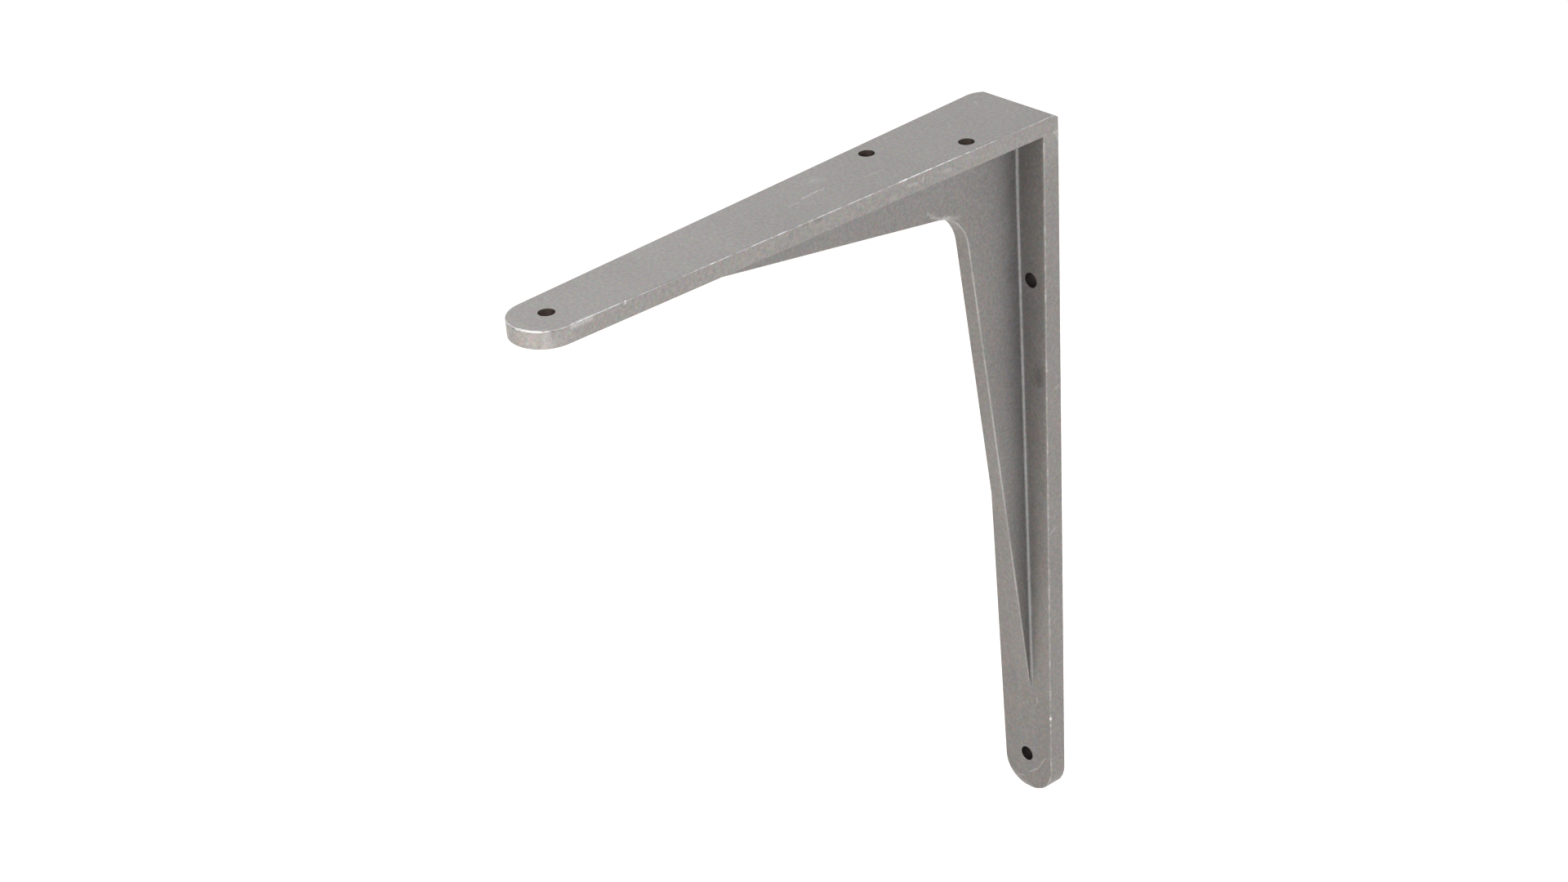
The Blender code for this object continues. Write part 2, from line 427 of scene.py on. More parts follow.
@dataclass
class Casting:
    """The one-piece casting: both arms and the web between them."""

    arms: tuple[Arm, Arm] = (SHELF_ARM, WALL_ARM)
    inner_round: float = 0.0182
    heel_soften: float = 0.0005
    far_round: float = 0.0086
    far_fade: float = 0.024
    spacing: float = 0.0014
    run_out: Pair = (0.014, 0.006)
    heel_steps: Pair = (0.0005, 0.0013)
    tip_steps: int = 22
    sharp_angle: float = 34.0
    rim_least: float = 0.2
    even: float = 0.012
    settle: float = 0.06
    foot_swell: Band = Band(0.095, 0.143, 1.0, 1.15)
    foot_limit: float = 0.6
    lip_limit: float = 0.3
    skin_scale: float = 95.0
    sizes: dict[str, float] = field(default_factory=lambda: {
        "Rim round": 0.00035, "Nose round": 0.0006, "Side draft": 0.0001, "Web half": 0.0035,
        "Web draft": 0.047, "Foot fillet": 0.0010, "Lip round": 0.0006, "Skin depth": 0.00006,
    })
    zone_steps: tuple[int, ...] = (12, 4, 6, 4, 9, 5, 22, 4, 3)

    def knee_centre(self) -> Vector:
        """Finds the centre of the web's inner round.

        Returns:
            The centre, as (along, depth) of the shelf arm.
        """
        shelf, wall = self.arms
        under_start, under = Vector((0.0, shelf.web_drop)), Vector((1.0, -shelf.web_slope)).normalized()
        front_start, front = Vector((wall.web_drop, 0.0)), Vector((-wall.web_slope, 1.0)).normalized()
        cross = under.x * front.y - under.y * front.x
        gap = front_start - under_start
        knee = under_start + under * ((gap.x * front.y - gap.y * front.x) / cross)
        half_angle = under.angle(front) / 2
        return knee + (under + front).normalized() * (self.inner_round / sin(half_angle))

    def heel(self, arm: Arm) -> Heel:
        """The half of the heel's chamfer that lies towards an arm."""
        other = next(one for one in self.arms if one is not arm)
        return Heel(arm.plate, arm.heel_leg, other.heel_leg, self.heel_soften)

    def corner_rows(self, arm: Arm, centre: Vector) -> list[Station]:
        """The rows that fan round the web's inner round, up to where the free edge is straight.

        Args:
            arm: the arm.
            centre: the round's centre, as (along, depth).

        Returns:
            The rows, without the one in the corner itself.
        """
        last = centre.x - arm.web_slope * (centre.y - arm.thickness) - arm.block
        heel = self.heel(arm)
        flat, turned = heel.runs
        full_run = arm.block + self.even - heel.along - heel.edge + turned
        fine = [flat / 2, *(flat + (turned - flat) * i / 3 for i in range(4))]
        fine += [turned + step for step in self.heel_steps]
        rows = []
        for run in fine + spread(fine[-1], full_run + last - self.even, self.spacing):
            reach = self.even * run / full_run if run < full_run else run - full_run + self.even
            root = Vector((arm.block + reach, arm.thickness))
            edge = centre + (root - centre).normalized() * self.inner_round
            climb = (centre - root) / (centre.y - root.y)
            outer, outward = heel.point(run)
            rows.append(Station(
                outer=outer, outward=outward, root=arm.plate.place(*root), climb=arm.plate.way(*climb),
                edge=arm.plate.place(*edge), shift=Vector(),
            ))
        return rows

    def straight_rows(self, arm: Arm, centre: Vector) -> list[Station]:
        """The rows along the straight free edge and the bare plate beyond it.

        Args:
            arm: the arm.
            centre: the inner round's centre, as (along, depth).

        Returns:
            The rows, up to the rounded tip.
        """
        start = centre.x - self.inner_round * sin(atan(arm.web_slope))
        end = arm.tip_centre.y + arm.tip_round * sin(arm.lean)
        places = spread(start, arm.web_reach, self.spacing) + spread(arm.web_reach, end, self.spacing)[:-1]
        rows = []
        for along in places:
            left = (arm.web_reach - self.run_out[1] - along) / (self.run_out[0] - self.run_out[1])
            clear = max(arm.web_depth(along) - arm.thickness, 0.0) * min(1.0, max(0.0, left))
            tilt = arm.web_slope * max(0.0, 1.0 - (along - start) / self.settle) ** 2
            root = along - clear * tilt
            rows.append(Station(
                outer=arm.plate.place(root, 0.0), outward=arm.plate.way(0.0, -1.0),
                root=arm.plate.place(root, arm.thickness), climb=arm.plate.way(tilt, 1.0),
                edge=arm.plate.place(along, arm.thickness + clear),
                shift=arm.plate.way(-sin(arm.lean), 0.0), side_lean=cos(arm.lean),
            ))
        return rows

    def tip_rows(self, arm: Arm) -> list[Station]:
        """The rows round the tip. The last one is drawn together to close it.

        Args:
            arm: the arm.

        Returns:
            The rows.
        """
        rows = []
        centre, steps = arm.tip_centre, self.tip_steps
        for i in [*range(steps + 1), steps]:
            turn = arm.lean + (pi / 2 - arm.lean) * i / steps
            along = centre.y + arm.tip_round * sin(turn)
            half = centre.x + arm.tip_round * cos(turn)
            root = arm.plate.place(along, arm.thickness)
            rows.append(Station(
                outer=arm.plate.place(along, 0.0), outward=arm.plate.way(0.0, -1.0), root=root,
                climb=arm.plate.way(0.0, 1.0), edge=root, shift=arm.plate.way(-sin(turn), 0.0),
                side_lean=cos(turn), tip_cut=arm.taper_half(along) - half,
                tip_draft=arm.tip_draft * (1.0 - cos(turn)), open_share=float(len(rows) <= steps),
            ))
        return rows

    def stations(self) -> list[Station]:
        """Lays out all the rows.

        Returns:
            The rows, from the tip of the shelf arm to the tip of the wall arm.
        """
        shelf, wall = self.arms
        centre = self.knee_centre()
        ways = {shelf.plate: centre, wall.plate: Vector((centre.y, centre.x))}
        root = Vector((wall.thickness, shelf.thickness))
        edge = centre + (root - centre).normalized() * self.inner_round
        outer, outward = self.heel(shelf).point(0.0)
        corner = Station(
            outer=outer, outward=outward, root=shelf.plate.place(*root),
            climb=shelf.plate.way(1.0, 1.0), edge=shelf.plate.place(*edge), shift=Vector(),
        )
        halves = []
        for arm in self.arms:
            turned = ways[arm.plate]
            rows = self.corner_rows(arm, turned) + self.straight_rows(arm, turned)
            halves.append(rows + self.tip_rows(arm))
        return [*reversed(halves[0]), corner, *halves[1]]

    def guide(self, stations: list[Station]) -> Object:
        """Makes the object whose points are the rows, with each row's facts as attributes.

        Args:
            stations: the rows.

        Returns:
            The object.
        """
        obj = add_points("casting", [station.outer for station in stations])
        layers = obj.data.attributes
        for name in Station.VECTORS:
            numbers = [n for station in stations for n in getattr(station, name)]
            layers.new(name, "FLOAT_VECTOR", "POINT").data.foreach_set("vector", numbers)
        for name in Station.NUMBERS:
            numbers = [getattr(station, name) for station in stations]
            layers.new(name, "FLOAT", "POINT").data.foreach_set("value", numbers)
        return obj

    def build(self, finish: Material) -> Object:
        """Sweeps the casting and drills its holes.

        Args:
            finish: its material.

        Returns:
            The piece, as a plain mesh.
        """
        stations = self.stations()
        piece = self.guide(stations)
        sweep = SweepTree("casting_sweep", tuple(self.sizes), self, len(stations), finish)
        apply_tree(piece, sweep.build(), self.sizes)
        ScrewHoles(self.arms).drill(piece, finish)
        piece.data.shade_smooth()
        piece.data.set_sharp_from_angle(angle=radians(self.sharp_angle))
        return piece


def apply_tree(piece: Object, tree: NodeTree, sizes: dict[str, float]) -> None:
    """Runs a tree on a piece and keeps the result as its plain mesh.

    Args:
        piece: the object.
        tree: the tree.
        sizes: the values of its named inputs.
    """
    modifier = piece.modifiers.new(tree.name, "NODES")
    modifier.node_group = tree
    for item in tree.interface.items_tree:
        if item.item_type == "SOCKET" and item.in_out == "INPUT" and item.name in sizes:
            modifier[item.identifier] = sizes[item.name]
    graph = bpy.context.evaluated_depsgraph_get()
    mesh = bpy.data.meshes.new_from_object(piece.evaluated_get(graph), depsgraph=graph)
    piece.modifiers.remove(modifier)
    piece.data = mesh
    mesh.name = piece.name


@dataclass
class TreeMaker:
    """A Geometry Nodes tree with named inputs, and what both trees use."""

    name: str
    sizes: Sequence[str]

    def __post_init__(self) -> None:
        """Makes the tree with its geometry and size sockets."""
        self.tree = bpy.data.node_groups.new(self.name, "GeometryNodeTree")
        face = self.tree.interface
        face.new_socket("Geometry", in_out="INPUT", socket_type="NodeSocketGeometry")
        for size in self.sizes:
            face.new_socket(size, in_out="INPUT", socket_type="NodeSocketFloat")
        face.new_socket("Geometry", in_out="OUTPUT", socket_type="NodeSocketGeometry")
        self.source = self.tree.nodes.new("NodeGroupInput")

    def size(self, name: str) -> Signal:
        """One of the tree's named sizes."""
        return Signal(self.tree, self.source.outputs[name])

    def node(self, kind: str, source: Optional[NodeSocket] = None, into: str = "Geometry",
             **settings: object) -> Node:
        """Adds a node.

        Args:
            kind: its kind, without the usual prefix.
            source: the geometry that goes in, if any.
            into: the input that takes it.
            settings: the node's properties.

        Returns:
            The node.
        """
        node = self.tree.nodes.new("GeometryNode" + kind)
        for name, value in settings.items():
            setattr(node, name, value)
        if source is not None:
            self.tree.links.new(source, node.inputs[into])
        return node

    def read(self, kind: str, vector: bool = False) -> Signal:
        """The value that a node with no inputs gives for each point."""
        return Signal(self.tree, self.node(kind).outputs[0], vector)

    def attribute(self, name: str, vector: bool = False) -> Signal:
        """Reads an attribute.

        Args:
            name: its name.
            vector: whether it is a vector.

        Returns:
            Its value.
        """
        node = self.node("InputNamedAttribute", data_type="FLOAT_VECTOR" if vector else "FLOAT")
        feed(name, node.inputs["Name"])
        return Signal(self.tree, node.outputs["Attribute"], vector)

    def vector(self, *parts: Term) -> Signal:
        """Puts three numbers together.

        Args:
            parts: the numbers.

        Returns:
            The vector.
        """
        node = self.tree.nodes.new("ShaderNodeCombineXYZ")
        for part, socket in zip(parts, node.inputs):
            feed(part, socket)
        return Signal(self.tree, node.outputs[0], vector=True)

    def choose(self, number: Signal, values: Sequence[Term]) -> Signal:
        """Takes one of several values by number.

        Args:
            number: which one, from 0.
            values: the values.

        Returns:
            The value that is taken.
        """
        vector = any(is_vector(value) for value in values)
        node = self.node("IndexSwitch", data_type="VECTOR" if vector else "FLOAT")
        while len(node.index_switch_items) < len(values):
            node.index_switch_items.new()
        feed(number, node.inputs[0])
        for value, socket in zip(values, list(node.inputs)[1:]):
            feed(value, socket)
        return Signal(self.tree, node.outputs[0], vector)

    def keep(self, geometry: NodeSocket, name: str, value: Signal) -> NodeSocket:
        """Stores a number on every point.

        Args:
            geometry: the mesh.
            name: the attribute's name.
            value: the number.

        Returns:
            The mesh with the attribute.
        """
        node = self.node("StoreNamedAttribute", geometry, data_type="FLOAT", domain="POINT")
        feed(name, node.inputs["Name"])
        feed(value, node.inputs["Value"])
        return node.outputs["Geometry"]

    def finish(self, geometry: NodeSocket, material: Material) -> NodeTree:
        """Ends the tree.

        Args:
            geometry: the finished mesh.
            material: its material.

        Returns:
            The tree.
        """
        dressed = self.node("SetMaterial", self.node("RealizeInstances", geometry).outputs[0])
        feed(material, dressed.inputs["Material"])
        self.tree.links.new(dressed.outputs[0], self.tree.nodes.new("NodeGroupOutput").inputs["Geometry"])
        return self.tree


@dataclass
class SweepTree(TreeMaker):
    """The tree that sweeps the casting's section over its rows."""

    casting: Casting
    rows: int
    material: Material

    def row_value(self, row: Signal, name: str, vector: bool) -> Signal:
        """One fact of a row.

        Args:
            row: the row's number.
            name: the fact's name.
            vector: whether it is a vector.

        Returns:
            The fact, on each point of the sheet.
        """
        node = self.node("SampleIndex", self.source.outputs["Geometry"],
                         data_type="FLOAT_VECTOR" if vector else "FLOAT")
        feed(self.attribute(name, vector), node.inputs["Value"])
        feed(row, node.inputs["Index"])
        return Signal(self.tree, node.outputs[0], vector)

    def half_width(self, place: Signal, tip_cut: Signal) -> Signal:
        """Half the width of the arm.

        Args:
            place: a point of the middle plane.
            tip_cut: what the rounded tip takes off.

        Returns:
            The half width there.
        """
        shelf, wall = self.casting.arms
        shelf_run = (-shelf.block - place.part(1)).at_least(0.0)
        wall_run = ((TOP - wall.block) - place.part(2)).at_least(0.0)
        narrowing = shelf_run * tan(shelf.lean) + wall_run * tan(wall.lean)
        return shelf.corner_half - narrowing - tip_cut

    def far_corner(self, place: Signal) -> Signal:
        """What the rounded far end of the outer corner takes off the half width.

        Args:
            place: a point of the middle plane.

        Returns:
            The cut there.
        """
        casting = self.casting
        fade = 1.0 - (TOP - place.part(2)) / casting.far_fade
        radius = fade.at_least(0.0).at_most(1.0) * casting.far_round
        inside = (radius + place.part(1)).at_least(0.0)
        return radius - (radius * radius - inside * inside).at_least(0.0).work("SQRT")

    def build(self) -> NodeTree:
        """Lays out the whole tree.

        Returns:
            The tree.
        """
        steps = self.casting.zone_steps
        starts = [sum(steps[:i]) for i in range(len(steps))]
        half_points = sum(steps)
        around = 2 * half_points + 1
        sheet = self.node("MeshGrid")
        feed(self.rows, sheet.inputs["Vertices X"])
        feed(around, sheet.inputs["Vertices Y"])

        number = self.read("InputIndex")
        row = ((number + 0.5) / float(around)).work("FLOOR")
        point = number - row * float(around)
        left = point.work("GREATER_THAN", half_points + 0.5)
        step = half_points - (point - float(half_points)).work("ABSOLUTE")
        zone = reduce(Signal.__add__, [step.work("GREATER_THAN", start - 0.5) for start in starts[1:]])
        share = step - self.choose(zone, [float(n) for n in starts])
        share = share / self.choose(zone, [float(n) for n in steps])
        quarter = share * (pi / 2)
        sine, cosine = quarter.work("SINE"), quarter.work("COSINE")

        outer, outward, root, climb, edge, shift = (self.row_value(row, n, True) for n in Station.VECTORS)
        side_lean, tip_cut, tip_draft, open_share = (self.row_value(row, n, False) for n in Station.NUMBERS)
        rim, nose = self.size("Rim round"), self.size("Nose round")
        draft = self.size("Side draft") + tip_draft
        web_half, web_draft = self.size("Web half"), self.size("Web draft")
        clear = (edge - root).work("LENGTH") / climb.work("LENGTH")
        fillet = self.size("Foot fillet") * self.casting.foot_swell.of(root.part(2))
        fillet = fillet.at_most(clear * self.casting.foot_limit)
        lip = self.size("Lip round").at_most(clear * self.casting.lip_limit)
        foot_point = root + climb * fillet
        fall = edge - foot_point
        lip_point = edge - fall * (lip / fall.work("LENGTH").at_least(TINY))

        zero = rim * 0.0
        drafted = draft * share * share
        insets = [rim, rim * (1.0 - sine), drafted, draft + nose * (1.0 - cosine)] + [draft + nose] * 5
        inset = self.choose(zone, insets)
        drawn = self.choose(zone, [
            outer,
            outer - outward * (rim * (1.0 - cosine)),
            between(outer - outward * rim, root - climb * nose, share * share),
            root - climb * (nose * (1.0 - sine)),
            root,
            root + climb * (fillet * (1.0 - cosine)),
            between(foot_point, lip_point, share),
            between(lip_point, edge, sine), edge,
        ])
        place = drawn + shift * inset

        half = self.half_width(place, tip_cut)
        side = half - inset * side_lean
        web_side = web_half + web_draft * (edge - drawn).work("LENGTH")
        foot_side = web_half + web_draft * fall.work("LENGTH")
        widths = [
            side * share * (2.0 - share), side, side, side,
            between(side, (foot_side + fillet).at_most(side), share),
            foot_side + fillet * (1.0 - sine),
            web_side, web_side - lip * (1.0 - cosine), (web_half - lip) * (1.0 - share),
        ]
        width = self.choose(zone, widths).at_most(side) * open_share
        far_cut = width * (self.far_corner(place) / half.at_least(TINY))
        across = width * (1.0 - 2.0 * left) + far_cut * left
        shaped = self.node("SetPosition", sheet.outputs["Mesh"])
        feed(self.vector(across, place.part(1), place.part(2)), shaped.inputs["Position"])
        bell, least = (share * pi).work("SINE"), self.casting.rim_least
        # Masks for the material: rim, nose and lip lines carry rubbed wear with painted highlights, the
        # foot a painted highlight, and the web's foot a painted cool reflection tint; skin marks the cast
        # faces.
        marks = {
            "rim": {Zone.RIM: between(least, 1.0, bell), Zone.SIDE: share.work("LESS_THAN", TINY) * least},
            "nose": {Zone.NOSE: bell}, "lip": {Zone.LIP: bell},
            "foot": {Zone.FOOT: (bell * 2.0).at_most(1.0)},
            "hollow_cool_reflection": {Zone.FOOT: zero + 1.0, Zone.WEB: (1.0 - share) * (1.0 - share)},
        }
        marks["skin"] = {z: zero + 1.0 for z in Zone if z not in (Zone.OUTER_FACE, Zone.RIM)}
        mesh = shaped.outputs[0]
        for name, marked in marks.items():
            mesh = self.keep(mesh, name, self.choose(zone, [marked.get(z, zero) for z in Zone]))

        joined = self.node("MergeByDistance", mesh)
        feed(WELD, joined.inputs["Distance"])
        turned = self.node("FlipFaces", joined.outputs[0], "Mesh")
        return self.finish(self.cast_skin(turned.outputs[0]), self.material)

    def cast_skin(self, mesh: NodeSocket) -> NodeSocket:
        """Sinks the cast faces a little, unevenly, as a sand mould leaves them.

        Args:
            mesh: the casting.

        Returns:
            The casting with its skin.
        """
        unevenness = noise(self.read("InputPosition", True), self.casting.skin_scale, 3.0)
        depth = unevenness * self.size("Skin depth") * self.attribute("skin")
        shaped = self.node("SetPosition", mesh)
        feed(self.read("InputNormal", True) * (depth * -1.0), shaped.inputs["Offset"])
        return shaped.outputs[0]


@dataclass
class ScrewHoles:
    """The plain round screw holes, their rims broken a little."""

    arms: tuple[Arm, Arm]
    sizes: dict[str, float] = field(default_factory=lambda: {
        "Hole diameter": 0.0061, "Rim break": 0.0001, "Overrun": 0.0015,
    })
    sides: int = 44
    slack: float = 0.00002
    margin: float = 0.0005

    def mouths(self, arm: Arm) -> list[Vector]:
        """The middles of an arm's holes, on its outer face."""
        return [Vector((across, 0.0, 0.0)) + arm.plate.place(along, 0.0) for across, along in arm.holes]

    def drill(self, piece: Object, material: Material) -> None:
        """Cuts the holes out of a piece.

        Args:
            piece: the object that is drilled.
            material: its material.
        """
        points = add_points("hole_points", [mouth for arm in self.arms for mouth in self.mouths(arm)])
        apply_tree(piece, self.tree(points, material), self.sizes)
        bpy.data.objects.remove(points, do_unlink=True)

    def tree(self, points: Object, material: Material) -> NodeTree:
        """Lays out the tree, which sets each plate's pin on the points and cuts it out.

        Args:
            points: the object with the holes' places.
            material: the material.

        Returns:
            The tree.
        """
        maker = TreeMaker("screw_holes", tuple(self.sizes))
        holder = maker.node("ObjectInfo", transform_space="ORIGINAL")
        feed(points, holder.inputs["Object"])
        cut = maker.node("MeshBoolean", maker.source.outputs["Geometry"], "Mesh 1",
                         operation="DIFFERENCE", solver="MANIFOLD")
        first = 0
        for arm in self.arms:
            number, last = maker.read("InputIndex"), first + len(arm.holes)
            chosen = number.work("GREATER_THAN", first - 0.5) * number.work("LESS_THAN", last - 0.5)
            first = last
            pins = maker.node("InstanceOnPoints", holder.outputs["Geometry"], "Points")
            maker.tree.links.new(self.pin(maker, arm.thickness), pins.inputs["Instance"])
            feed(chosen, pins.inputs["Selection"])
            if arm.plate is Plate.WALL:
                feed((-pi / 2, 0.0, 0.0), pins.inputs["Rotation"])
            real = maker.node("RealizeInstances", pins.outputs[0])
            maker.tree.links.new(real.outputs[0], cut.inputs["Mesh 2"])
        mesh = maker.keep(cut.outputs["Mesh"], "bore", self.bore(maker.read("InputPosition", True)))
        return maker.finish(mesh, material)

    def pin(self, maker: TreeMaker, thickness: float) -> NodeSocket:
        """The pin that cuts one hole. It flares at both faces of the plate.

        Args:
            maker: the maker of the tree.
            thickness: the plate's thickness.

        Returns:
            The pin's mesh.
        """
        diameter, rim, over = (maker.size(name) for name in self.sizes)
        radius = diameter * 0.5
        heights = [over, 0.0, rim * -1.0, rim - thickness, -thickness, over * -1.0 - thickness]
        wide = radius + rim
        widths = [wide + over, wide, radius, radius, wide, wide + over]
        line = maker.node("CurvePrimitiveLine").outputs[0]
        cuts = maker.node("ResampleCurve", line, "Curve", mode="COUNT")
        feed(len(heights), cuts.inputs["Count"])
        number = maker.read("InputIndex")
        placed = maker.node("SetPosition", cuts.outputs[0])
        feed(maker.vector(0.0, 0.0, maker.choose(number, heights)), placed.inputs["Position"])
        sized = maker.node("SetCurveRadius", placed.outputs[0], "Curve")
        feed(maker.choose(number, widths), sized.inputs["Radius"])
        ring = maker.node("CurvePrimitiveCircle")
        feed(self.sides, ring.inputs["Resolution"])
        pin = maker.node("CurveToMesh", sized.outputs[0], "Curve")
        maker.tree.links.new(ring.outputs[0], pin.inputs["Profile Curve"])
        feed(True, pin.inputs["Fill Caps"])
        feed(maker.read("InputRadius"), pin.inputs["Scale"])
        return pin.outputs[0]

    def bore(self, place: Signal) -> Signal:
        """1 on the walls of the holes and 0 elsewhere.

        Args:
            place: the position of each point.

        Returns:
            The mark.
        """
        limit = self.sizes["Hole diameter"] / 2 + self.slack
        walls = []
        for arm in self.arms:
            shelf = arm.plate is Plate.SHELF
            axis, face, flat = (2, TOP, (1.0, 1.0, 0.0)) if shelf else (1, 0.0, (1.0, 0.0, 1.0))
            inside = place.part(axis).work("GREATER_THAN", face - arm.thickness - self.margin)
            for mouth in self.mouths(arm):
                away = (place - tuple(mouth)) * flat
                walls.append(away.work("LENGTH").work("LESS_THAN", limit) * inside)
        return reduce(Signal.at_least, walls)


@dataclass(frozen=True)
class Mark:
    """One placed mark along a line of points, in millimetres."""

    width: float
    strength: float
    points: tuple[Triple, ...]

    def mask(self, place: Signal) -> Signal:
        """How strongly the mark shows.

        Args:
            place: the place.

        Returns:
            A number from 0 to the mark's strength.
        """
        spots = [Vector(point) * MILLIMETRE for point in self.points]
        gaps = []
        for start, end in zip(spots, spots[1:] or spots):
            away = place - tuple(start)
            line = end - start
            if line.length > 0.0:
                share = away.work("DOT_PRODUCT", tuple(line / line.length_squared))
                away = away - share.at_least(0.0).at_most(1.0) * tuple(line)
            gaps.append(away.work("LENGTH"))
        fade = Band(self.width * MILLIMETRE * MARK_FADE, 0.0, 0.0, self.strength)
        return fade.of(reduce(Signal.at_most, gaps))


def strongest(marks: Sequence[Mark], place: Signal) -> Signal:
    """How strongly the strongest of the marks shows."""
    return reduce(Signal.at_least, [mark.mask(place) for mark in marks])


# Scuff marks rubbed bright, in millimetres. Some rows are painted highlights: along the lip at the web's
# knee and on the shelf's tip.
SCUFFS_AND_HIGHLIGHTS = tuple(Mark(*row) for row in (
    (0.5, 0.10, ((-0.9, -8.0, -124.4), (0.2, -8.0, -126.2), (-1.6, -8.0, -129.5))),
    (0.6, 0.25, ((9.8, -8.0, -132.6), (7.6, -8.0, -135.4), (5.2, -8.0, -139.2), (0.9, -8.0, -142.4))),
    (0.8, 0.16, ((-5.5, -8.0, -146.3), (-2.0, -8.0, -145.6))),
    (2.8, 0.16, ((-9.1, -8.0, -145.8), (-4.7, -8.0, -148.7), (0.8, -8.0, -149.5))),
    (0.6, 0.20, ((6.0, -8.0, -105.3), (6.0, -8.0, -107.7))),
    (0.9, 0.28, ((-1.5, -8.0, -110.7),)),
    (0.9, 0.28, ((0.6, -8.0, -109.4),)),
    (0.8, 0.25, ((7.5, -8.0, -95.7),)),
    (1.2, 0.22, ((3.6, -55.0, 124.0), (3.6, -53.7, 122.9), (3.6, -52.1, 121.6))),
    (1.3, 0.28, ((3.6, -52.1, 121.4), (3.6, -48.8, 119.6), (3.6, -45.5, 118.6))),
    (2.6, 0.36, ((3.6, -46.4, 118.8), (3.6, -43.4, 117.8))),
    (1.9, 0.17, ((3.6, -42.8, 117.8), (3.6, -38.6, 116.4))),
    # Painted highlight along the lip at the web's knee, this row and the next two.
    (0.9, 0.16, ((3.6, -41.7, 116.5), (3.6, -39.6, 114.4), (3.6, -37.4, 111.5), (3.6, -35.8, 108.7))),
    (0.9, 0.13, ((3.6, -35.8, 108.7), (3.6, -34.5, 105.2), (3.6, -33.7, 101.6), (3.6, -33.0, 98.3))),
    (1.4, 0.22, ((3.6, -39.0, 111.0), (3.6, -37.4, 107.8))),
    (1.4, 0.20, ((17.6, -77.1, 147.0), (17.7, -73.2, 146.5))),
    (0.8, 0.30, ((17.8, -70.1, 147.8), (17.8, -70.2, 146.2))),
    (2.0, 0.14, ((18.1, -59.0, 146.6), (18.2, -56.4, 146.4))),
    (2.4, 0.12, ((17.3, -86.4, 144.3), (17.4, -84.6, 144.7))),
    (1.4, 0.25, ((19.5, -2.9, 142.9), (19.5, -0.6, 142.8))),
    (0.8, 0.22, ((19.5, -1.5, 142.2), (19.4, -0.2, 139.5))),
    (0.7, 0.80, ((17.4, -81.7, 149.9), (17.5, -78.0, 149.9))),
    (0.6, 0.50, ((17.5, -77.0, 149.9), (17.8, -66.0, 149.9))),
    (1.1, 0.20, ((15.4, -7.1, -27.6), (15.4, -3.5, -25.5))),
    (0.9, 0.60, ((13.9, -211.4, 149.9), (13.9, -211.5, 149.0))),
    (2.6, 0.30, ((13.3, -234.8, 148.9), (13.5, -226.8, 149.1))),
    # Painted highlight on the shelf tip's end face, this row and the next.
    (4.4, 0.22, ((10.0, -244.8, 148.0), (10.5, -244.4, 144.8))),
    (7.0, 0.10, ((-4.0, -249.0, 146.5), (6.5, -247.8, 146.5))),
    (0.9, 0.16, ((1.7, -122.0, 150.0), (1.7, -117.2, 150.0))),
    (1.0, 0.20, ((0.3, -114.3, 150.0), (-0.1, -105.9, 150.0), (0.4, -103.2, 150.0))),
    (0.8, 0.12, ((4.3, -86.4, 150.0), (5.1, -79.6, 150.0))),
    (4.5, 0.06, ((-7.9, -101.2, 150.0), (-6.6, -98.4, 150.0))),
    (0.7, 0.20, ((16.9, -3.0, 35.4), (16.9, -1.8, 36.4))),
    (0.8, 0.12, ((-12.3, -11.4, 150.0), (-9.2, -12.9, 150.0))),
    # Painted highlight along the rim of the shelf's tip.
    (0.9, 1.00, ((1.0, -249.4, 149.7), (6.5, -247.7, 149.7), (9.6, -245.5, 149.7), (11.3, -243.6, 149.7))),
    (1.5, 1.00, ((13.2, -7.9, -112.8),)),
    (1.0, 0.45, ((13.6, -7.9, -99.8),)),
    (0.7, 0.40, ((13.9, -8.0, -93.6),)),
    (0.7, 0.40, ((13.2, -8.0, -123.3),)),
    (1.2, 0.50, ((13.1, -7.9, -115.9),)),
))
# Dark pits, and the painted shade of a shallow dent in the wall arm's recess.
PITS_AND_DENT_SHADE = tuple(Mark(*row) for row in (
    (0.7, 0.80, ((4.2, -10.6, 112.2),)),
    (0.7, 0.50, ((14.3, -8.0, 78.8),)),
    (1.6, 0.20, ((13.3, -8.0, 43.4),)),
    (0.6, 0.30, ((12.9, -6.0, -129.8), (12.9, -5.2, -130.7))),
    # Painted shade of a shallow dent in the wall arm's recess: a wide, faint dark patch.
    (6.0, 0.34, ((13.0, -8.0, 42.6), (12.6, -8.0, 39.2))),
    (1.4, 0.20, ((16.2, -128.5, 149.2), (16.2, -127.1, 149.2))),
    (1.6, 0.22, ((16.3, -122.8, 149.0), (16.3, -120.6, 149.0))),
    (0.6, 0.75, ((-1.1, -249.4, 149.5), (-0.2, -249.5, 149.4))),
    (0.6, 0.50, ((11.7, -242.6, 149.5), (12.1, -241.9, 149.4))),
    (0.6, 0.50, ((12.5, -240.6, 149.4),)),
))


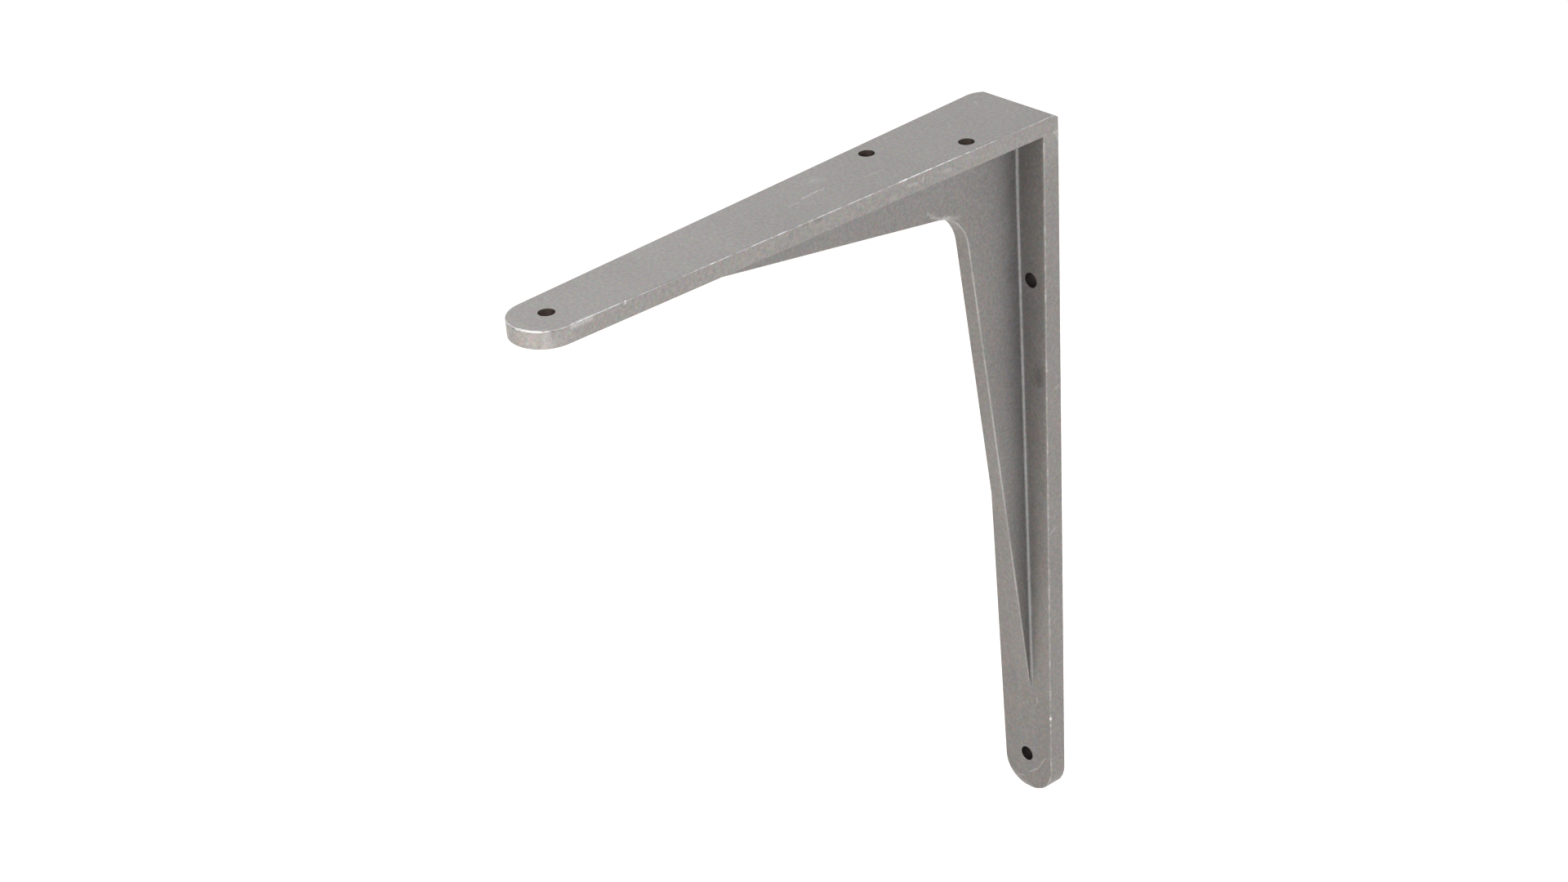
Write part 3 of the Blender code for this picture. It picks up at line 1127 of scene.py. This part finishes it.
@dataclass(frozen=True)
class CastAluminium:
    """Tumbled cast aluminium: a matt, grainy grey with burnished edges. Its colour also carries painted
    light: highlights on the edge lines, the web's knee and the shelf's tip, lighter plate sides and tip, a
    cool reflection tint at the web's foot, and shade in the screw holes and in a dent.
    """

    dark: Triple = (0.210, 0.201, 0.195)
    light: Triple = (0.274, 0.264, 0.256)
    mottle: Triple = (0.48, 0.35, 0.35)
    # Cool tint painted at the web's foot, standing in for reflected light.
    hollow_cool_reflection: Triple = (0.02, 0.06, 0.11)
    # Colour of rubbed wear and of painted highlights.
    bright: Triple = (0.78, 0.78, 0.79)
    black: Triple = (0.035, 0.030, 0.028)
    # Hole walls: painted shade, darker in the wall arm's holes than in the shelf arm's.
    bore: Triple = (0.125, 0.100, 0.088)
    dark_bore_shade: Triple = (0.062, 0.055, 0.052)
    fine_scale: float = 1500.0
    grain_scale: float = 800.0
    mottle_scale: float = 700.0
    cloud_scale: float = 24.0
    patch_scale: float = 42.0
    dash_scale: float = 330.0
    drift_scale: float = 900.0
    drift: float = 0.0005
    tone: Band = Band(0.34, 0.66)
    tone_shares: Triple = (0.45, 0.35, 0.20)
    bump_shares: Pair = (0.8, 0.7)
    rim_patches: Band = Band(0.42, 0.60, 0.22, 0.60)
    rim_dashes: Band = Band(0.34, 0.60, 0.25)
    # Painted highlight on the rim near the shelf's tip.
    tip_rim_highlight: Band = Band(-0.243, -0.249, 0.0, 0.5)
    wall_arm: Band = Band(0.1425, 0.1400)
    # Painted highlight along the nose line: dashes on the wall arm, and faint everywhere.
    nose_dashes: Band = Band(0.46, 0.70, 0.06, 0.31)
    nose_painted_highlight: float = 0.02
    # Painted highlight along the lip, in patches, weaker on the far side of the web.
    lip_patches: Band = Band(0.40, 0.62, 0.10, 0.26)
    near_side: Band = Band(-0.001, 0.001, 0.4)
    # Painted highlight along the foot fillet.
    foot_painted_highlight: float = 0.045
    scuff_grain: Band = Band(0.30, 0.65, 0.45)
    shelf_side: Band = Band(0.1416, 0.1430)
    wall_top: Band = Band(0.120, 0.143)
    wall_strip: Band = Band(-0.0085, -0.0079)
    # Painted light: how much lighter the plate sides are.
    painted_side_light: float = 0.18
    # Painted light: how much lighter the shelf arm is towards its tip.
    painted_tip_light: Band = Band(-0.229, -0.245, 0.0, 0.28)
    wall_end: Band = Band(-0.090, -0.150, 0.0, 0.12)
    plate_front: Band = Band(-0.0070, -0.0078)
    # Height that picks the lighter painted shade for the shelf arm's holes.
    bore_shade_height: Band = Band(0.1395, 0.1425)
    roughness: float = 0.54
    grain_roughness: float = 0.2
    shine: float = 0.16
    bump: float = 0.18
    bump_depth: float = 0.00012

    def attribute(self, tree: NodeTree, name: str) -> Signal:
        """Reads a mark that the trees left on the mesh.

        Args:
            tree: the material's tree.
            name: the mark's name.

        Returns:
            Its value.
        """
        node = tree.nodes.new("ShaderNodeAttribute")
        node.attribute_name = name
        return Signal(tree, node.outputs["Fac"])

    def blend(self, share: Signal, first: Term, second: Term) -> Signal:
        """Mixes two colours.

        Args:
            share: how much of the second one.
            first: the first colour.
            second: the second colour.

        Returns:
            The colour.
        """
        node = share.tree.nodes.new("ShaderNodeMix")
        node.data_type = "RGBA"
        feed(share, node.inputs["Factor"])
        sockets = [s for s in node.inputs if s.type == "RGBA"]
        for value, socket in zip((first, second), sockets):
            feed(value if isinstance(value, Signal) else (*value, 1.0), socket)
        colour = next(s for s in node.outputs if s.type == "RGBA")
        return Signal(share.tree, colour, vector=True)

    def mixed(self, layers: Sequence[Signal], shares: Sequence[float]) -> Signal:
        """The sum of layers of noise, each with its share."""
        return reduce(Signal.__add__, [layer * share for layer, share in zip(layers, shares)])

    def burnish_and_highlights(self, place: Signal, fine: Signal) -> Signal:
        """How far the edges and the scuff marks are rubbed bright, with painted highlights along the rim,
        nose, lip and foot lines.

        Args:
            place: the place.
            fine: the fine grain.

        Returns:
            A number from 0 to 1.
        """
        tree = place.tree
        across, along, height = (place.part(axis) for axis in range(3))
        patches = noise(place, self.patch_scale, 3.0)
        dashes = noise(place, self.dash_scale, 3.0)
        # Rim line: rubbed wear in patches with a painted highlight, strongest at the shelf's tip.
        rim = self.rim_patches.of(patches) + self.tip_rim_highlight.of(along)
        rim = self.attribute(tree, "rim") * rim * self.rim_dashes.of(dashes)
        # Nose line: painted highlight in dashes on the wall arm, and faint all along.
        nose = self.wall_arm.of(height) * self.nose_dashes.of(dashes) + self.nose_painted_highlight
        nose = self.attribute(tree, "nose") * nose
        # Lip line: painted highlight in patches, weaker on the far side of the web.
        lip = self.attribute(tree, "lip") * self.lip_patches.of(patches) * self.near_side.of(across)
        # Foot fillet: a faint painted highlight line, added to the edge lines.
        edges = rim + nose + lip + self.attribute(tree, "foot") * self.foot_painted_highlight
        drift = noise(place, self.drift_scale, colour=True) * self.drift
        # Scuff marks, with painted highlights at the web's knee and the shelf's tip.
        scuffs_and_highlights = strongest(SCUFFS_AND_HIGHLIGHTS, place + drift) * self.scuff_grain.of(fine)
        return (edges + scuffs_and_highlights).at_most(1.0)

    def painted_light_and_dark_end(self, place: Signal) -> Signal:
        """How much lighter painted light makes the plate sides and the shelf's tip, and how much darker the
        wall arm's low end is.

        Args:
            place: the place.

        Returns:
            The share by which the tone changes.
        """
        height, depth = place.part(2), place.part(1)
        # Painted light on the plate sides and towards the shelf's tip; darker towards the wall arm's low
        # end.
        wall = self.wall_top.of(height) * self.wall_strip.of(depth)
        sides = self.shelf_side.of(height).at_least(wall) * self.painted_side_light
        low = self.wall_end.of(height) * self.plate_front.of(depth)
        return (sides + self.painted_tip_light.of(depth) - low) * self.attribute(place.tree, "skin")

    def make(self) -> Material:
        """Makes the material.

        Returns:
            The material.
        """
        material = bpy.data.materials.new("cast_aluminium_finish")
        material.use_nodes = True
        tree = material.node_tree
        shader = tree.nodes["Principled BSDF"]
        place = Signal(tree, tree.nodes.new("ShaderNodeTexCoord").outputs["Object"], vector=True)
        fine, grain = noise(place, self.fine_scale), noise(place, self.grain_scale)
        layers = (fine, grain, noise(place, self.cloud_scale, 3.0))
        tone = self.mixed(layers, self.tone_shares)
        tint = noise(place, self.mottle_scale, colour=True) * self.mottle + (1.0, 1.0, 1.0)
        # Painted cool reflection tint on the foot fillet and the web just above it.
        tint = tint + self.attribute(tree, "hollow_cool_reflection") * self.hollow_cool_reflection
        # The tone, with painted light on the plate sides and the shelf's tip, and darker at the wall arm's
        # low end.
        colour = self.blend(self.tone.of(tone), self.dark, self.light) * tint * (1.0 + self.painted_light_and_dark_end(place))
        # Rubbed wear and painted highlights, blended towards the bright colour.
        wear_and_highlight = self.burnish_and_highlights(place, fine)
        colour = self.blend(wear_and_highlight, colour, self.bright)
        # Painted shade on the hole walls: the wall arm's holes darker than the shelf arm's.
        bore = self.blend(self.bore_shade_height.of(place.part(2)), self.dark_bore_shade, self.bore)
        colour = self.blend(self.attribute(tree, "bore"), colour, bore)
        # Dark pits and the painted dent shade, towards near black.
        feed(self.blend(strongest(PITS_AND_DENT_SHADE, place), colour, self.black), shader.inputs["Base Color"])
        feed(1.0, shader.inputs["Metallic"])
        rough = self.roughness + (fine - 0.5) * self.grain_roughness - wear_and_highlight * self.shine
        feed(rough, shader.inputs["Roughness"])
        bump = tree.nodes.new("ShaderNodeBump")
        feed(self.bump, bump.inputs["Strength"])
        feed(self.bump_depth, bump.inputs["Distance"])
        feed(self.mixed(layers, self.bump_shares), bump.inputs["Height"])
        tree.links.new(bump.outputs["Normal"], shader.inputs["Normal"])
        return material


@dataclass(frozen=True)
class SoftBox:
    """One large soft light."""

    name: str
    place: Triple
    size: Pair
    watts: float
    colour: Triple = (1.0, 1.0, 1.0)

    def hang(self, target: Vector) -> None:
        """Hangs the light.

        Args:
            target: the point that it faces.
        """
        lamp = bpy.data.lights.new(self.name, "AREA")
        lamp.shape = "RECTANGLE"
        lamp.size, lamp.size_y = self.size
        lamp.energy = self.watts
        lamp.color = self.colour
        obj = add_object(self.name, lamp)
        obj.location = self.place
        obj.rotation_euler = (target - obj.location).to_track_quat("-Z", "Y").to_euler()


@dataclass(frozen=True)
class Studio:
    """The floor, the lights and the camera."""

    floor_drop: float = 0.40
    floor_side: float = 14.0
    sky: float = 0.75
    aim: Triple = (0.0, -0.1, 0.0)
    boxes: tuple[SoftBox, ...] = (
        SoftBox("back_light", (-1.75, 1.30, 1.38), (1.8, 1.8), 9.0),
        SoftBox("tip_light", (-2.0, 0.6, 1.1), (1.4, 1.4), 8.0),
        SoftBox("side_light", (2.3, 0.9, 1.3), (1.4, 1.4), 40.0, (0.98, 0.995, 1.03)),
        SoftBox("front_light", (0.35, -2.2, 1.2), (1.2, 1.2), 43.0, (1.0, 0.96, 0.91)),
    )
    camera_place: Triple = (0.97135, -1.00937, 0.74079)
    camera_turn: Triple = (1.0900679, 0.0588439, 0.8062388)
    lens: float = 92.71
    shift: Pair = (0.00406, -0.00056)

    def floor(self) -> None:
        """Lays a plain pale floor below the bracket."""
        half, height = self.floor_side / 2, -TOP - self.floor_drop
        sides = (-half, -half), (half, -half), (half, half), (-half, half)
        obj = add_points("floor", [Vector((*side, height)) for side in sides], [range(4)])
        material = bpy.data.materials.new("floor_white")
        material.use_nodes = True
        shader = material.node_tree.nodes["Principled BSDF"]
        feed((0.95, 0.925, 0.90, 1.0), shader.inputs["Base Color"])
        feed(0.9, shader.inputs["Roughness"])
        obj.data.materials.append(material)

    def light(self) -> None:
        """Lights the scene from all round, with soft boxes added."""
        world = bpy.data.worlds.new("studio_sky")
        world.use_nodes = True
        back = world.node_tree.nodes["Background"]
        feed((1.0, 1.0, 1.0, 1.0), back.inputs["Color"])
        feed(self.sky, back.inputs["Strength"])
        bpy.context.scene.world = world
        for box in self.boxes:
            box.hang(Vector(self.aim))
        bpy.context.scene.view_settings.view_transform = "Standard"

    def camera(self) -> None:
        """Sets the camera where the photograph was taken from."""
        data = bpy.data.cameras.new("camera")
        data.lens = self.lens
        data.shift_x, data.shift_y = self.shift
        obj = add_object("camera", data)
        obj.location = self.camera_place
        obj.rotation_euler = self.camera_turn
        bpy.context.scene.camera = obj

    def build(self) -> None:
        """Sets up the whole studio."""
        self.camera()
        self.floor()
        self.light()


def main() -> None:
    """Builds the studio and the casting."""
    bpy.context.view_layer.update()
    Studio().build()
    log.info("studio ready")
    finish = CastAluminium().make()
    piece = Casting().build(finish)
    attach(piece, "root")
    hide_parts("bracket")
    log.info("casting: %d faces", len(piece.data.polygons))


if __name__ == "__main__":
    main()
